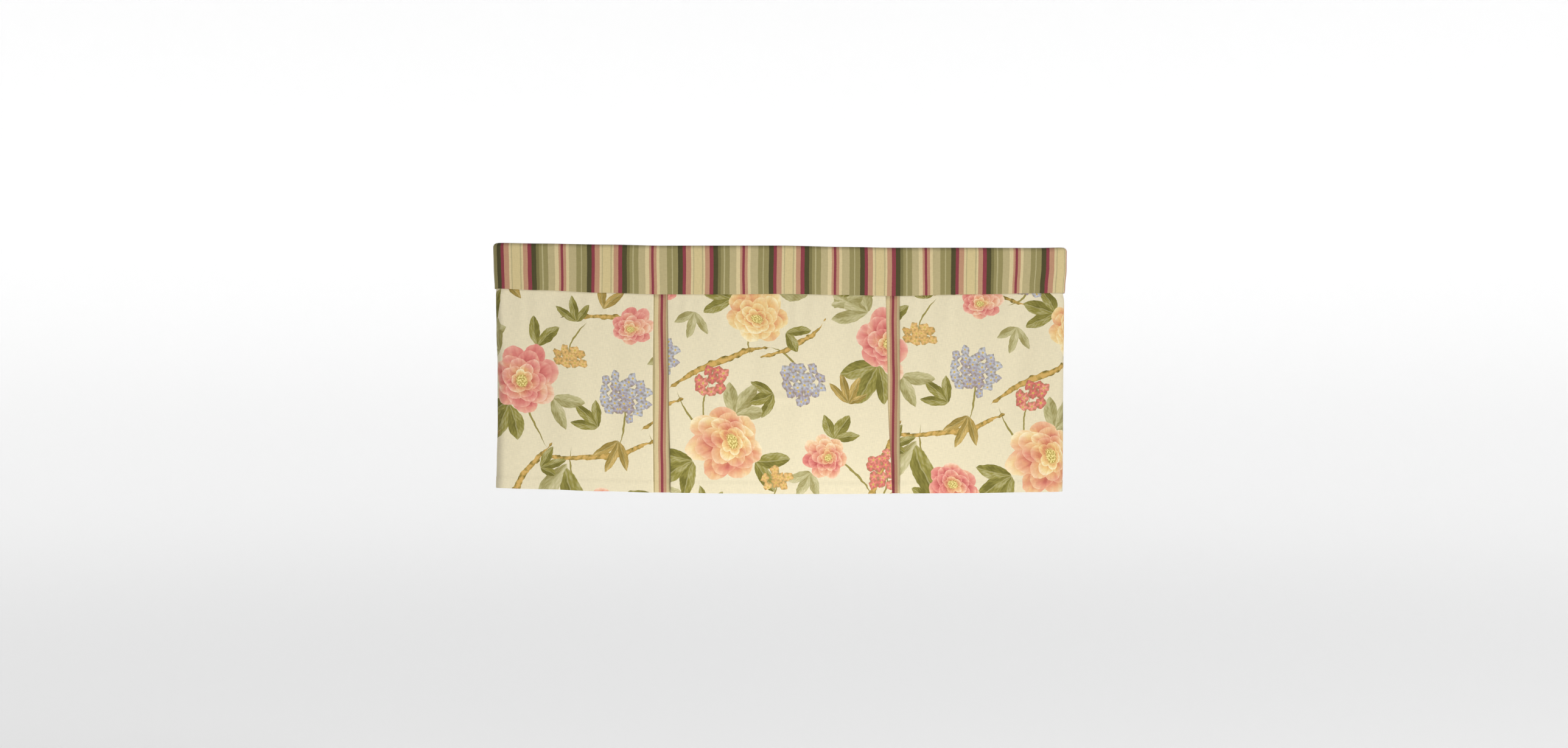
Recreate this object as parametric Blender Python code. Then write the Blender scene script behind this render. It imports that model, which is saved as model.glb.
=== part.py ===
"""A tailored window valance, in metres: +X to the right, +Y back to the wall, +Z up.

A striped heading is folded over its rod pocket. Three floral panels hang from it, with their edges
turned back at two open pleats, and a striped insert closes each pleat from behind. The outer panels
and the heading wrap round into the returns. The origin is the middle of the heading's top edge, on
the plane of its front face.
"""

import math
from collections import namedtuple

import bpy

# Driving dimensions
WIDTH = 1.076  # across the heading, over both returns
RETURN = 0.100  # from the front face back to the wall
CORNER = 0.022  # outer radius where the front turns into a return
CLOTH = 0.002  # thickness of each sheet
GAP = 0.0008  # air between neighbouring sheets
POCKET = 0.012  # clear depth of the rod pocket
TUCK = 0.008  # how far the panels reach up behind the heading
BACK_RISE = 0.014  # how far the heading's back layer stops above its front one
FLAP = 0.045  # panel edge turned back at a pleat
INSERT_WIDTH = 0.110

# Depth of the middle of each sheet behind the outer face
LAYER = CLOTH + GAP
HEADING_DEPTH = CLOTH / 2
PANEL_DEPTH = HEADING_DEPTH + LAYER
FLAP_DEPTH = PANEL_DEPTH + LAYER
INSERT_DEPTH = FLAP_DEPTH + LAYER
FOLD_RADIUS = LAYER / 2
POCKET_RADIUS = (POCKET + CLOTH) / 2

# Steps that share out the facets
RETURN_STEPS = 3
CORNER_STEPS = 5
FOLD_STEPS = 4
FLAP_STEPS = 2
SIDE_PANEL_STEPS = 16
CENTRE_PANEL_STEPS = 22
HEADING_STEPS = 34
INSERT_STEPS = 6
PANEL_ROWS = 15
POCKET_STEPS = 6
FRONT_ROWS = 5
BACK_ROWS = 3

# Lengths along the plan, from the back edge of the left return to that of the right one
RETURN_RUN = RETURN - CORNER
CORNER_RUN = CORNER * math.pi / 2
FRONT_RUN = WIDTH - 2 * CORNER
FRONT_START = RETURN_RUN + CORNER_RUN
FRONT_END = FRONT_START + FRONT_RUN
WHOLE_RUN = FRONT_END + FRONT_START

# Heights of the cloth's edges, a row for each section of the front
Section = namedtuple("Section", "x top band hem")
SECTIONS = (
    Section(x=-0.538, top=0.0060, band=-0.080, hem=-0.4525),
    Section(x=-0.450, top=0.0047, band=-0.083, hem=-0.4545),
    Section(x=-0.330, top=0.0028, band=-0.088, hem=-0.4585),
    Section(x=-0.220, top=0.0007, band=-0.091, hem=-0.4610),
    Section(x=-0.100, top=0.0008, band=-0.091, hem=-0.4625),
    Section(x=0.000, top=0.0008, band=-0.090, hem=-0.4635),
    Section(x=0.120, top=-0.0018, band=-0.092, hem=-0.4635),
    Section(x=0.215, top=-0.0032, band=-0.094, hem=-0.4625),
    Section(x=0.350, top=-0.0032, band=-0.091, hem=-0.4620),
    Section(x=0.480, top=-0.0036, band=-0.089, hem=-0.4600),
    Section(x=0.538, top=-0.0026, band=-0.088, hem=-0.4595),
)

# How far each side draws in below the top, a row for each height
Side = namedtuple("Side", "z left right")
SIDES = (
    Side(z=-0.460, left=0.0028, right=0.0052),
    Side(z=-0.405, left=0.0038, right=0.0043),
    Side(z=-0.330, left=0.0054, right=0.0039),
    Side(z=-0.220, left=0.0047, right=0.0032),
    Side(z=-0.155, left=0.0024, right=0.0022),
    Side(z=-0.102, left=0.0011, right=0.0014),
    Side(z=-0.089, left=0.0012, right=0.0045),
    Side(z=-0.080, left=0.0024, right=0.0036),
    Side(z=-0.040, left=0.0008, right=0.0006),
    Side(z=0.000, left=0.0000, right=0.0000),
)
SIDE_START = 0.330  # the front draws in only outside this distance from the middle

# The two open edges of each pleat, and how far the panel on each side lifts forwards
Opening = namedtuple("Opening", "z left right left_lift right_lift")
LEFT_PLEAT = (
    Opening(z=-0.460, left=-0.2360, right=-0.2045, left_lift=0.0015, right_lift=0.0030),
    Opening(z=-0.270, left=-0.2372, right=-0.2083, left_lift=0.0010, right_lift=0.0015),
    Opening(z=-0.080, left=-0.2355, right=-0.2105, left_lift=0.0000, right_lift=0.0000),
)
RIGHT_PLEAT = (
    Opening(z=-0.460, left=0.2090, right=0.2230, left_lift=0.0015, right_lift=0.0060),
    Opening(z=-0.270, left=0.2015, right=0.2230, left_lift=0.0010, right_lift=0.0035),
    Opening(z=-0.080, left=0.1980, right=0.2230, left_lift=0.0000, right_lift=0.0000),
)
LIFT_REACH = 0.060

# Soft upright folds: a positive depth is a trough, and drift leans the fold over its height
Fold = namedtuple("Fold", "x drift half_width depth top bottom")
FOLDS = (
    Fold(x=-0.400, drift=0.010, half_width=0.110, depth=0.0010, top=0.05, bottom=-0.30),
    Fold(x=0.030, drift=0.000, half_width=0.130, depth=-0.0008, top=0.05, bottom=-0.30),
    Fold(x=0.430, drift=0.000, half_width=0.090, depth=0.0012, top=0.05, bottom=-0.30),
    Fold(x=-0.455, drift=0.010, half_width=0.045, depth=0.0018, top=-0.09, bottom=-0.50),
    Fold(x=-0.385, drift=0.004, half_width=0.036, depth=-0.0014, top=-0.09, bottom=-0.42),
    Fold(x=-0.310, drift=-0.006, half_width=0.032, depth=0.0015, top=-0.09, bottom=-0.50),
    Fold(x=-0.120, drift=0.006, half_width=0.034, depth=-0.0016, top=-0.09, bottom=-0.48),
    Fold(x=-0.045, drift=-0.010, half_width=0.030, depth=0.0016, top=-0.09, bottom=-0.32),
    Fold(x=0.040, drift=-0.005, half_width=0.034, depth=-0.0018, top=-0.09, bottom=-0.50),
    Fold(x=0.115, drift=0.006, half_width=0.034, depth=0.0014, top=-0.09, bottom=-0.38),
    Fold(x=0.295, drift=0.012, half_width=0.030, depth=-0.0016, top=-0.09, bottom=-0.38),
    Fold(x=0.345, drift=0.008, half_width=0.030, depth=0.0014, top=-0.09, bottom=-0.50),
    Fold(x=0.400, drift=0.000, half_width=0.034, depth=-0.0014, top=-0.09, bottom=-0.36),
    Fold(x=0.465, drift=-0.030, half_width=0.034, depth=0.0030, top=-0.09, bottom=-0.34),
)
CREASE_HEIGHT = -0.285  # a soft ridge across the centre panel where it was once folded
CREASE_HALF_WIDTH = 0.030
CREASE_DEPTH = -0.0012
CREASE_LEFT = -0.190
CREASE_RIGHT = 0.130

# Plain colours: name, red, green, blue
STRIPED = ("striped_cloth", 0.42, 0.36, 0.20)
FLORAL = ("floral_cloth", 0.70, 0.60, 0.38)
PLEAT_CLOTH = ("pleat_cloth", 0.46, 0.32, 0.19)
CLOTH_ROUGHNESS = 0.9


def remove_everything():
    """Empty the scene."""
    for thing in list(bpy.data.objects):
        bpy.data.objects.remove(thing)


def blend(rows, key, column, value):
    """Read a column of a table at a value of its key column, easing from row to row."""
    rows = sorted(rows, key=lambda row: getattr(row, key))
    if value <= getattr(rows[0], key):
        return getattr(rows[0], column)
    for low, high in zip(rows, rows[1:]):
        if value <= getattr(high, key):
            share = (value - getattr(low, key)) / (getattr(high, key) - getattr(low, key))
            eased = share * share * (3 - 2 * share)
            return getattr(low, column) * (1 - eased) + getattr(high, column) * eased
    return getattr(rows[-1], column)


def bump(distance, half_width):
    """A smooth hill that is one in the middle and nothing past its half width."""
    share = abs(distance) / half_width
    return (1 + math.cos(math.pi * share)) / 2 if share < 1 else 0.0


def ramp(value, start, end):
    """Ease from nothing at the start to one at the end."""
    share = min(max((value - start) / (end - start), 0.0), 1.0)
    return share * share * (3 - 2 * share)


def rail(run):
    """The plan's x and y at a length along it, and the direction into the valance there."""
    half = WIDTH / 2
    from_left = min(run, WHOLE_RUN - run)
    side = -1 if run < WHOLE_RUN / 2 else 1
    if from_left <= RETURN_RUN:
        return side * half, RETURN - from_left, -side, 0.0
    if from_left <= FRONT_START:
        turn = (from_left - RETURN_RUN) / CORNER
        x = half - CORNER + CORNER * math.cos(turn)
        y = CORNER - CORNER * math.sin(turn)
        return side * x, y, -side * math.cos(turn), math.sin(turn)
    return run - WHOLE_RUN / 2, 0.0, 0.0, 1.0


def sway(x, z):
    """How far the cloth stands back from its flat plane, in soft folds."""
    depth = 0.0
    for fold in FOLDS:
        down = min(max((fold.top - z) / (fold.top - fold.bottom), 0.0), 1.0)
        fade = math.sin(math.pi * down)
        depth += fold.depth * fade * bump(x - fold.x - fold.drift * down, fold.half_width)
    if CREASE_LEFT < x < CREASE_RIGHT:
        across = math.sin(math.pi * (x - CREASE_LEFT) / (CREASE_RIGHT - CREASE_LEFT))
        depth += CREASE_DEPTH * across * bump(z - CREASE_HEIGHT, CREASE_HALF_WIDTH)
    return depth


def place(run, depth, z, lift=0.0):
    """A point of the cloth: so far along the plan, so deep behind its face, at height z."""
    x, y, in_x, in_y = rail(run)
    inwards = depth + sway(x, z) - lift
    x += in_x * inwards
    y += in_y * inwards
    drawn_in = blend(SIDES, "z", "left" if x < 0 else "right", z) * ramp(abs(x), SIDE_START, WIDTH / 2)
    return x - math.copysign(drawn_in, x), y, z


def steps(start, end, count):
    """Evenly spaced values from the start up to, and without, the end."""
    return [start + (end - start) * i / count for i in range(count)]


def front_run(x):
    """The length along the plan at which the front reaches x."""
    return x + WHOLE_RUN / 2


def left_side_runs():
    """Stations along the left return and round its corner."""
    return steps(0.0, RETURN_RUN, RETURN_STEPS) + steps(RETURN_RUN, FRONT_START, CORNER_STEPS)


def turned_edge(edge, side):
    """Stations (run, depth) round the fold at a pleat and back along its flap."""
    centre = front_run(edge) - side * (FOLD_RADIUS + CLOTH / 2)
    turns = [math.pi * i / FOLD_STEPS for i in range(FOLD_STEPS + 1)]
    fold = [(centre + side * FOLD_RADIUS * math.sin(a), PANEL_DEPTH + FOLD_RADIUS * (1 - math.cos(a)))
            for a in turns]
    flap = [(centre - side * FLAP * i / FLAP_STEPS, FLAP_DEPTH) for i in range(1, FLAP_STEPS + 1)]
    return fold + flap


def panel_route(z, left_pleat, right_pleat):
    """Stations (run, depth) across one panel at height z, between its pleats or returns."""
    route = []
    if left_pleat:
        route += reversed(turned_edge(blend(left_pleat, "z", "right", z), -1))
    else:
        route += [(run, PANEL_DEPTH) for run in left_side_runs()]
        route.append((FRONT_START, PANEL_DEPTH))
    turned = turned_edge(blend(right_pleat, "z", "left", z), 1) if right_pleat else []
    start = route[-1][0]
    end = turned[0][0] if turned else FRONT_END
    count = CENTRE_PANEL_STEPS if left_pleat and right_pleat else SIDE_PANEL_STEPS
    route += [(run, PANEL_DEPTH) for run in steps(start, end, count)[1:]]
    if turned:
        return route + turned
    return route + [(WHOLE_RUN - run, PANEL_DEPTH) for run in [FRONT_START] + left_side_runs()[::-1]]


def panel_lift(x, z, left_pleat, right_pleat):
    """How far a panel stands forwards beside its pleats."""
    lift = 0.0
    if left_pleat:
        edge = blend(left_pleat, "z", "right", z)
        lift += blend(left_pleat, "z", "right_lift", z) * bump(max(x - edge, 0.0), LIFT_REACH)
    if right_pleat:
        edge = blend(right_pleat, "z", "left", z)
        lift += blend(right_pleat, "z", "left_lift", z) * bump(max(edge - x, 0.0), LIFT_REACH)
    return lift


def hanging_height(run, row):
    """A row's height: the first is tucked behind the heading, the second lies at the band's edge."""
    x = rail(run)[0]
    band = blend(SECTIONS, "x", "band", x)
    hem = blend(SECTIONS, "x", "hem", x)
    return band + (hem - band) * (row - 1) / (PANEL_ROWS - 2) if row else band + TUCK


def panel_grid(left_pleat, right_pleat):
    """Rows of points over one panel."""
    rows = []
    for i in range(PANEL_ROWS):
        row = []
        for run, depth in panel_route(hanging_height(WHOLE_RUN / 2, i), left_pleat, right_pleat):
            z = hanging_height(run, i)
            lift = panel_lift(rail(run)[0], z, left_pleat, right_pleat)
            row.append(place(run, depth, z, lift))
        rows.append(row)
    return rows


def insert_grid(pleat):
    """Rows of points over the strip that closes a pleat from behind."""
    middle = front_run(sum(row.left + row.right for row in pleat) / (2 * len(pleat)))
    runs = steps(middle - INSERT_WIDTH / 2, middle + INSERT_WIDTH / 2, INSERT_STEPS)
    runs.append(middle + INSERT_WIDTH / 2)
    return [[place(run, INSERT_DEPTH, hanging_height(run, i)) for run in runs]
            for i in range(PANEL_ROWS)]


def heading_profile(x):
    """Stations (depth, height) from the back layer's hem, over the top and down to the band's edge."""
    top = blend(SECTIONS, "x", "top", x) - CLOTH / 2 - POCKET_RADIUS
    band = blend(SECTIONS, "x", "band", x)
    back_depth = HEADING_DEPTH + 2 * POCKET_RADIUS
    profile = [(back_depth, z) for z in steps(band + BACK_RISE, top, BACK_ROWS)]
    for a in steps(0.0, math.pi, POCKET_STEPS):
        depth = HEADING_DEPTH + POCKET_RADIUS * (1 + math.cos(a))
        profile.append((depth, top + POCKET_RADIUS * math.sin(a)))
    profile += [(HEADING_DEPTH, z) for z in steps(top, band, FRONT_ROWS)]
    return profile + [(HEADING_DEPTH, band)]


def heading_grid():
    """Rows of points over the heading, one row for each station of its profile."""
    left = left_side_runs()
    runs = left + steps(FRONT_START, FRONT_END, HEADING_STEPS) + [FRONT_END]
    runs += [WHOLE_RUN - run for run in left[::-1]]
    columns = [[place(run, depth, z) for depth, z in heading_profile(rail(run)[0])] for run in runs]
    return [list(row) for row in zip(*columns)]


def cloth_material(name, red, green, blue):
    """A plain matt cloth."""
    material = bpy.data.materials.new(name)
    material.use_nodes = True
    shader = material.node_tree.nodes["Principled BSDF"]
    shader.inputs["Base Color"].default_value = (red, green, blue, 1.0)
    shader.inputs["Roughness"].default_value = CLOTH_ROUGHNESS
    shader.inputs["Metallic"].default_value = 0.0
    return material


def sheet(name, grid, colour):
    """One sheet of cloth: the grid is its middle surface, and Solidify gives it its thickness."""
    across = len(grid[0])
    points = [point for row in grid for point in row]
    faces = [(i * across + j, (i + 1) * across + j, (i + 1) * across + j + 1, i * across + j + 1)
             for i in range(len(grid) - 1) for j in range(across - 1)]
    mesh = bpy.data.meshes.new(name)
    mesh.from_pydata(points, [], faces)
    mesh.shade_smooth()
    mesh.materials.append(cloth_material(*colour))
    thing = bpy.data.objects.new(name, mesh)
    bpy.context.collection.objects.link(thing)
    thickness = thing.modifiers.new("thickness", "SOLIDIFY")
    thickness.thickness = CLOTH
    thickness.offset = 0.0
    thickness.use_even_offset = True
    return thing


def main():
    """Build every piece of the valance."""
    remove_everything()
    sheet("heading", heading_grid(), STRIPED)
    sheet("panel_left", panel_grid(None, LEFT_PLEAT), FLORAL)
    sheet("panel_centre", panel_grid(LEFT_PLEAT, RIGHT_PLEAT), FLORAL)
    sheet("panel_right", panel_grid(RIGHT_PLEAT, None), FLORAL)
    sheet("insert_left", insert_grid(LEFT_PLEAT), PLEAT_CLOTH)
    sheet("insert_right", insert_grid(RIGHT_PLEAT), PLEAT_CLOTH)


main()
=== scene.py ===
# %% [markdown]
# # A tailored window valance
#
# A valance is a short curtain that hides the top of a window. This one is cut from two cottons: a
# flowered one for three flat panels, and a striped one for the heading and for the inserts behind
# two open pleats. The frame below holds the real sizes. This lesson puts cloth on them.

# %% Load the fixed frame
import math
from collections import namedtuple

import bpy
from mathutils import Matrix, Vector, noise


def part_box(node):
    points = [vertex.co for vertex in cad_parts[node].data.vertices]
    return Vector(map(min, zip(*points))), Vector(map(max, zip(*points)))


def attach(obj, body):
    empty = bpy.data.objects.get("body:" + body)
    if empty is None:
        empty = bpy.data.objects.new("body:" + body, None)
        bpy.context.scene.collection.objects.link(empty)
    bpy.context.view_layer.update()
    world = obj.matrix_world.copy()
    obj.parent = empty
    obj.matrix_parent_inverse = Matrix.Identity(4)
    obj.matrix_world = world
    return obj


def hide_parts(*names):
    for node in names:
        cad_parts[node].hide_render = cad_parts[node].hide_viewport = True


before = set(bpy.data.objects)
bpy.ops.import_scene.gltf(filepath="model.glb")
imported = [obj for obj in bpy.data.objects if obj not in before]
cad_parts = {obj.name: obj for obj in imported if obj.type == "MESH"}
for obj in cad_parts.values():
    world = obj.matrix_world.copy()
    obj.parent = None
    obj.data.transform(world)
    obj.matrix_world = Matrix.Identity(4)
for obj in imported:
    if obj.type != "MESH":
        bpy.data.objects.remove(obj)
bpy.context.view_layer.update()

bpy.ops.object.select_all(action="DESELECT")
heading_low, heading_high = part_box("heading")
print("nodes:", sorted(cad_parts))
print("heading runs from", tuple(heading_low), "to", tuple(heading_high))

# %% [markdown]
# ## Where the cloth hangs
#
# Seen from above, the valance is a shallow U: a return, a rounded corner, the long front, and a
# corner and return again. Every sheet follows that U at its own depth, so one function, a *rail*,
# serves them all. It could be drawn as a curve object, but a function gives the direction into the
# cloth as well, which the layers need to stay a hair apart.

# %% The plan of the valance
WIDTH = heading_high[0] - heading_low[0]
RETURN = heading_high[1]
CORNER = 0.022
CORNER_RUN = CORNER * math.pi / 2
FRONT_START = RETURN - CORNER + CORNER_RUN
FRONT_END = FRONT_START + WIDTH - 2 * CORNER
WHOLE_RUN = FRONT_START + FRONT_END


def rail(run):
    """The plan's x and y at a length along it, and the direction into the valance there."""
    half = WIDTH / 2
    along = min(run, WHOLE_RUN - run)
    side = -1 if run < WHOLE_RUN / 2 else 1
    if along <= RETURN - CORNER:
        return side * half, RETURN - along, -side, 0.0
    if along <= FRONT_START:
        turn = (along - RETURN + CORNER) / CORNER
        x = half - CORNER + CORNER * math.cos(turn)
        y = CORNER - CORNER * math.sin(turn)
        return side * x, y, -side * math.cos(turn), math.sin(turn)
    return run - WHOLE_RUN / 2, 0.0, 0.0, 1.0


print("the plan is", round(WHOLE_RUN, 3), "m long")

# %% [markdown]
# ## Uneven edges
#
# A hung valance is never quite square. The heading sags a little to one side, the hem dips in the
# middle, the sides draw in, and the pleats gape at their own pace. Each of these is a short table
# with a row for each section, read with an easing that rounds off the steps between rows.

# %% Tables for the edges
Section = namedtuple("Section", "x top band hem")
SECTIONS = (
    Section(-0.538, 0.0060, -0.080, -0.4525),
    Section(-0.450, 0.0047, -0.083, -0.4545),
    Section(-0.330, 0.0028, -0.088, -0.4585),
    Section(-0.220, 0.0007, -0.091, -0.4610),
    Section(-0.100, 0.0008, -0.091, -0.4625),
    Section(0.000, 0.0008, -0.090, -0.4635),
    Section(0.120, -0.0018, -0.092, -0.4635),
    Section(0.215, -0.0032, -0.094, -0.4625),
    Section(0.350, -0.0032, -0.091, -0.4620),
    Section(0.480, -0.0036, -0.089, -0.4600),
    Section(0.538, -0.0026, -0.088, -0.4595),
)
Side = namedtuple("Side", "z left right")
SIDES = (
    Side(-0.460, 0.0028, 0.0052),
    Side(-0.405, 0.0038, 0.0043),
    Side(-0.330, 0.0054, 0.0039),
    Side(-0.220, 0.0047, 0.0032),
    Side(-0.155, 0.0024, 0.0022),
    Side(-0.102, 0.0011, 0.0014),
    Side(-0.089, 0.0012, 0.0045),
    Side(-0.080, 0.0024, 0.0036),
    Side(-0.040, 0.0008, 0.0006),
    Side(0.000, 0.0000, 0.0000),
)
SIDE_START = 0.330
Opening = namedtuple("Opening", "z left right left_lift right_lift")
LEFT_PLEAT = (
    Opening(-0.460, -0.2360, -0.2045, 0.0015, 0.0030),
    Opening(-0.270, -0.2372, -0.2083, 0.0010, 0.0015),
    Opening(-0.080, -0.2355, -0.2105, 0.0000, 0.0000),
)
RIGHT_PLEAT = (
    Opening(-0.460, 0.2090, 0.2230, 0.0015, 0.0060),
    Opening(-0.270, 0.2015, 0.2230, 0.0010, 0.0035),
    Opening(-0.080, 0.1980, 0.2230, 0.0000, 0.0000),
)
LIFT_REACH = 0.060


def blend(rows, key, column, value):
    """Read a column of a table at a value of its key column, easing from row to row."""
    rows = sorted(rows, key=lambda row: getattr(row, key))
    if value <= getattr(rows[0], key):
        return getattr(rows[0], column)
    for low, high in zip(rows, rows[1:]):
        if value <= getattr(high, key):
            share = (value - getattr(low, key)) / (getattr(high, key) - getattr(low, key))
            eased = share * share * (3 - 2 * share)
            return getattr(low, column) * (1 - eased) + getattr(high, column) * eased
    return getattr(rows[-1], column)


def ramp(value, start, end):
    """Ease from nothing at the start to one at the end."""
    share = min(max((value - start) / (end - start), 0.0), 1.0)
    return share * share * (3 - 2 * share)


def bump(distance, half_width):
    """A smooth hill that is one in the middle and nothing past its half width."""
    share = abs(distance) / half_width
    return (1 + math.cos(math.pi * share)) / 2 if share < 1 else 0.0


print("drop in the middle:", blend(SECTIONS, "x", "top", 0) - blend(SECTIONS, "x", "hem", 0))

# %% [markdown]
# ## Soft folds
#
# Stiff cotton hangs nearly flat, yet light finds its long soft folds at once. The main ones are listed
# one by one, each a trough or a ridge with its own lean. Small puckers hang from the seam under the
# heading, where two cloths of different stretch are sewn together: noise that is long downwards and
# short across makes those, fading as it falls. All layers share one shape, so none cuts another.

# %% The folds, creases and puckers
Fold = namedtuple("Fold", "x drift half_width depth top bottom")
FOLDS = (
    Fold(-0.400, 0.010, 0.110, 0.0010, 0.05, -0.30),
    Fold(0.030, 0.000, 0.130, -0.0008, 0.05, -0.30),
    Fold(0.430, 0.000, 0.090, 0.0012, 0.05, -0.30),
    Fold(-0.455, 0.010, 0.045, 0.0018, -0.09, -0.50),
    Fold(-0.385, 0.004, 0.036, -0.0014, -0.09, -0.42),
    Fold(-0.310, -0.006, 0.032, 0.0015, -0.09, -0.50),
    Fold(-0.120, 0.006, 0.034, -0.0016, -0.09, -0.48),
    Fold(-0.045, -0.010, 0.030, 0.0016, -0.09, -0.32),
    Fold(0.040, -0.005, 0.034, -0.0018, -0.09, -0.50),
    Fold(0.115, 0.006, 0.034, 0.0014, -0.09, -0.38),
    Fold(0.295, 0.012, 0.030, -0.0016, -0.09, -0.38),
    Fold(0.345, 0.008, 0.030, 0.0014, -0.09, -0.50),
    Fold(0.400, 0.000, 0.034, -0.0014, -0.09, -0.36),
    Fold(0.465, -0.030, 0.034, 0.0030, -0.09, -0.34),
)
CREASE_HEIGHT = -0.285
CREASE_HALF_WIDTH = 0.012
CREASE_DEPTH = -0.0012
CREASE_LEFT = -0.190
CREASE_RIGHT = 0.130
PUCKER_SEAM = 0.012
PUCKER_FADE = 0.020
PUCKER_REACH = 0.110
PUCKER_DEPTH = 0.0018
PUCKERS_ACROSS = 62
PUCKERS_DOWN = 7
UNEVEN_DEPTH = 0.0007
UNEVEN_ACROSS = 11
UNEVEN_DOWN = 9
PUCKER_SEED = 1.5
UNEVEN_SEED = 6.5


def soft_noise(across, down, seed):
    """Smooth noise from about -1 to 1."""
    return noise.noise(Vector((across, down, seed)))


def sway(x, z):
    """How far the cloth stands back from its flat plane, in soft folds."""
    depth = 0.0
    for fold in FOLDS:
        down = min(max((fold.top - z) / (fold.top - fold.bottom), 0.0), 1.0)
        hill = bump(x - fold.x - fold.drift * down, fold.half_width)
        depth += fold.depth * math.sin(math.pi * down) * hill
    if CREASE_LEFT < x < CREASE_RIGHT:
        across = math.sin(math.pi * (x - CREASE_LEFT) / (CREASE_RIGHT - CREASE_LEFT))
        depth += CREASE_DEPTH * across * bump(z - CREASE_HEIGHT, CREASE_HALF_WIDTH)
    below_band = blend(SECTIONS, "x", "band", x) - z
    if below_band > 0:
        fade = ramp(below_band, 0.0, PUCKER_SEAM) * (1 - ramp(below_band, PUCKER_FADE, PUCKER_REACH))
        depth += PUCKER_DEPTH * fade * soft_noise(x * PUCKERS_ACROSS, z * PUCKERS_DOWN, PUCKER_SEED)
    return depth + UNEVEN_DEPTH * soft_noise(x * UNEVEN_ACROSS, z * UNEVEN_DOWN, UNEVEN_SEED)


def place(run, depth, z, lift=0.0):
    """A point of the cloth: so far along the plan, so deep behind its face, at height z."""
    x, y, in_x, in_y = rail(run)
    inwards = depth + sway(x, z) - lift
    x += in_x * inwards
    y += in_y * inwards
    drawn_in = blend(SIDES, "z", "left" if x < 0 else "right", z) * ramp(abs(x), SIDE_START, WIDTH / 2)
    return x - math.copysign(drawn_in, x), y, z


print("sway under the band:", [round(sway(x / 10, -0.12) * 1000, 2) for x in range(-5, 6)], "mm")

# %% [markdown]
# ## A sheet of cloth
#
# Each sheet starts as a flat grid whose points are then hung: a column for each station along the
# cloth's width, a row for each height. The grid's UV map keeps the flat cut size in metres, so that
# a print lies on the cloth as it was woven, round folds and corners too. Solidify gives the
# thickness, a little more of it in the turned-up hem, and marks nothing by itself, so the faces of
# the wrong side get an attribute that the materials can read.

# %% Cut, hang and thicken a sheet
THICKNESS = 0.0016
SINGLE_SHARE = 0.55
HEM_HEIGHT = 0.020
HEM_BLEND = 0.0015
SHARP_EDGE = math.radians(50)


def spaced(start, end, pitch):
    """Even stations from the start up to, and without, the end, about a pitch apart."""
    count = max(1, round(abs(end - start) / pitch))
    return [start + (end - start) * i / count for i in range(count)]


def hang_sheet(name, columns, rows, point, cut_left=0.0, cut_top=0.0, thick=None):
    """Make a sheet from its stations: lengths across the cloth, and lengths down it from the hem up."""
    bpy.ops.mesh.primitive_grid_add(x_subdivisions=len(columns) - 1, y_subdivisions=len(rows) - 1, size=1)
    cloth = bpy.context.object
    cloth.name = name
    cloth.data.name = name
    group = cloth.vertex_groups.new(name="thick")
    stations = [(columns[index % len(columns)], rows[index // len(columns)])
                for index in range(len(cloth.data.vertices))]
    for vertex, (across, down) in zip(cloth.data.vertices, stations):
        vertex.co = point(across, down)
        group.add([vertex.index], thick(down) if thick else 1.0, "REPLACE")
    cut = cloth.data.uv_layers.active
    cut.name = "cut"
    for loop in cloth.data.loops:
        across, down = stations[loop.vertex_index]
        cut.uv[loop.index].vector = (cut_left + across, cut_top - down)
    return cloth


def thicken(cloth):
    """Give a sheet its two sides, and mark the faces of the wrong one."""
    single = len(cloth.data.polygons)
    bpy.context.view_layer.objects.active = cloth
    bpy.ops.object.modifier_add(type="SOLIDIFY")
    solidify = cloth.modifiers[-1]
    solidify.thickness = THICKNESS
    solidify.offset = 0.0
    solidify.use_even_offset = True
    solidify.vertex_group = "thick"
    solidify.thickness_vertex_group = SINGLE_SHARE
    bpy.ops.object.modifier_apply(modifier=solidify.name)
    side = cloth.data.attributes.new("wrong_side", "FLOAT", "FACE")
    for face in cloth.data.polygons[single:2 * single]:
        side.data[face.index].value = 1.0
    bpy.ops.object.shade_smooth_by_angle(angle=SHARP_EDGE)
    cloth.select_set(False)
    print(cloth.name, "has", len(cloth.data.polygons), "faces")
    return cloth


# %% [markdown]
# ## The flowered panels
#
# A panel is cut wider than it shows: at a pleat its edge is folded back on itself. A row of points
# across a panel therefore starts on the hidden flap, turns round the fold in a half circle, and
# crosses the front. The outer panels end on a return instead. The top edge is tucked a few
# millimetres up behind the heading, where it would be sewn.

# %% Stations across a panel
FRONT_DEPTH = 0.0038
FLAP_DEPTH = 0.0066
INSERT_DEPTH = 0.0094
FOLD_RADIUS = (FLAP_DEPTH - FRONT_DEPTH) / 2
FOLD_SET_BACK = FOLD_RADIUS + THICKNESS / 2
FOLD_RUN = math.pi * FOLD_RADIUS
FLAP = 0.045
INSERT_WIDTH = 0.110
TUCK = 0.008
DROP = blend(SECTIONS, "x", "band", 0) - blend(SECTIONS, "x", "hem", 0)
MIDDLE_HEIGHT = -0.270
COLUMN_PITCH = 0.0042
ROW_PITCH = 0.0052
FOLD_PITCH = 0.0007
CORNER_PITCH = 0.0030
FLAP_PITCH = 0.0090
RETURN_COLUMNS = spaced(0.0, RETURN - CORNER, FLAP_PITCH)
RETURN_COLUMNS += spaced(RETURN - CORNER, FRONT_START, CORNER_PITCH)


def front_run(x):
    """The length along the plan at which the front reaches x."""
    return x + WHOLE_RUN / 2


def height_at(run, down):
    """The height of the cloth at a length down from the band's edge, or above it where it is tucked."""
    x = rail(run)[0]
    band = blend(SECTIONS, "x", "band", x)
    hem = blend(SECTIONS, "x", "hem", x)
    return band + (hem - band) * down / DROP if down > 0 else band - down


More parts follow.
